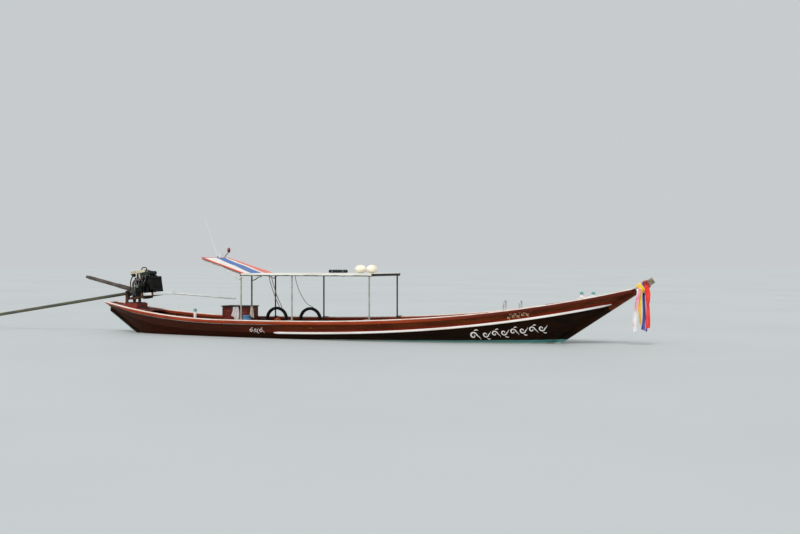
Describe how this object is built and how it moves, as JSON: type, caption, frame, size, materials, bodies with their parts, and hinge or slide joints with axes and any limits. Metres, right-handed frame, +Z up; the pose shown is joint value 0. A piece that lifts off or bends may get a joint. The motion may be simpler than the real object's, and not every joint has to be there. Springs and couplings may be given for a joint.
{
  "type": "longtail boat",
  "caption": "Slim open wooden boat with a raked stem, tube-framed canopy and a car engine on a swivelling yoke that drives a long tail shaft and propeller.",
  "frame": {"origin": "on the waterline, on the centre line, amidships (half way along the 13 m hull)", "axes": "+X to the bow, +Y to port, +Z up"},
  "size_m": [17.1734, 2.12, 3.137],
  "materials": {
    "dark_plank": "oiled, dark",
    "red_plank": "red-brown varnish",
    "varnish": "orange-brown varnish",
    "white_paint": "white gloss paint on timber",
    "teal_paint": "teal paint on timber",
    "red_paint": "red paint on timber",
    "raw_timber": "worn bare timber",
    "weathered_timber": "grey weathered timber",
    "light_tube": "light worn tube",
    "dark_tube": "dark painted tube",
    "canvas": "cream coated sheet",
    "striped_canvas": "red, white and blue stripes",
    "foam": "cream foam",
    "mat": "dark rolled mat",
    "white_plastic": "white rod",
    "red_lens": "red lens",
    "tyre_rubber": "worn black rubber",
    "steel_tube": "bright tube",
    "blue_plastic": "blue plastic",
    "sash_cloth_white": "white cloth",
    "sash_cloth_pink": "pink cloth",
    "sash_cloth_yellow": "yellow cloth",
    "sash_cloth_blue": "blue cloth",
    "sash_cloth_red": "red cloth",
    "rusty_steel": "rusted steel",
    "grey_paint": "grey-green paint",
    "cast_iron": "oily cast iron",
    "tan_paint": "faded tan paint",
    "black_steel": "black paint",
    "sooty_steel": "burnt steel",
    "white_steel": "white paint on steel",
    "bronze": "worn bronze"
  },
  "bodies": {
    "hull": {"bottom_planking": "dark_plank", "side_strake_port": "red_plank", "side_strake_starboard": "red_plank", "transom": "red_paint", "stem_post": "weathered_timber", "keel": "teal_paint", "gunwale_port": "varnish", "gunwale_starboard": "varnish", "rub_strake_port": "white_paint", "rub_strake_starboard": "white_paint", "ribs_and_risers": "raw_timber", "floorboards": "raw_timber", "thwart_1": "raw_timber", "thwart_2": "raw_timber", "thwart_3": "raw_timber", "thwart_4": "raw_timber", "thwart_5": "raw_timber", "thwart_6": "raw_timber", "foredeck": "red_paint", "stern_deck": "red_paint", "engine_bed": "raw_timber", "bow_bitts": "white_paint", "aft_bitt": "teal_paint", "canopy_post_aft_port": "dark_tube", "canopy_post_mid_port": "dark_tube", "canopy_post_fore_port": "dark_tube", "canopy_post_aft_starboard": "light_tube", "canopy_post_mid_starboard": "light_tube", "canopy_post_fore_starboard": "light_tube", "helm_post": "dark_tube", "canopy_frame": "light_tube", "canopy_roof": "canvas", "tail_awning": "striped_canvas", "roof_floats": "foam", "rolled_mat": "mat", "whip_aerial": "white_plastic", "stern_lamp": "red_lens", "locker": "red_plank", "tyre_aft": "tyre_rubber", "tyre_fore": "tyre_rubber", "boarding_ladder": "steel_tube", "water_drum": "blue_plastic", "sash_white": "sash_cloth_white", "sash_pink": "sash_cloth_pink", "sash_yellow": "sash_cloth_yellow", "sash_blue": "sash_cloth_blue", "sash_red": "sash_cloth_red"},
    "locker_lid": {"locker_lid": "red_plank"},
    "swivel": {"swivel_yoke": "rusty_steel"},
    "engine": {"engine_cradle": "rusty_steel", "gearbox": "grey_paint", "engine_block": "cast_iron", "cylinder_head": "cast_iron", "air_cleaner": "tan_paint", "radiator": "black_steel", "exhaust": "sooty_steel", "tiller": "white_steel", "tail_tube": "grey_paint"},
    "fan": {"fan": "tan_paint"},
    "propeller": {"propeller": "bronze"}
  },
  "joints": [
    {"name": "locker_lid_hinge", "type": "hinge", "parent": "hull", "child": "locker_lid", "pos_m": [-2.95, 0.566, 0.643], "axis": [-1, 0, 0], "range_deg": [0, 95]},
    {"name": "engine_swivel", "type": "hinge", "parent": "hull", "child": "swivel", "pos_m": [-5.7, 0, 0.7], "axis": [0, 0, 1], "range_deg": [-60, 60]},
    {"name": "engine_tilt", "type": "hinge", "parent": "swivel", "child": "engine", "pos_m": [-5.85, 0, 0.94], "axis": [0, -1, 0], "range_deg": [0, 6]},
    {"name": "fan_spin", "type": "hinge", "parent": "engine", "child": "fan", "pos_m": [-5.2155, 0, 1.1865], "axis": [0.989, 0, 0.1478], "continuous": true},
    {"name": "propeller_spin", "type": "hinge", "parent": "engine", "child": "propeller", "pos_m": [-10.6171, 0, 0.2276], "axis": [0.989, 0, 0.1478], "continuous": true}
  ]
}
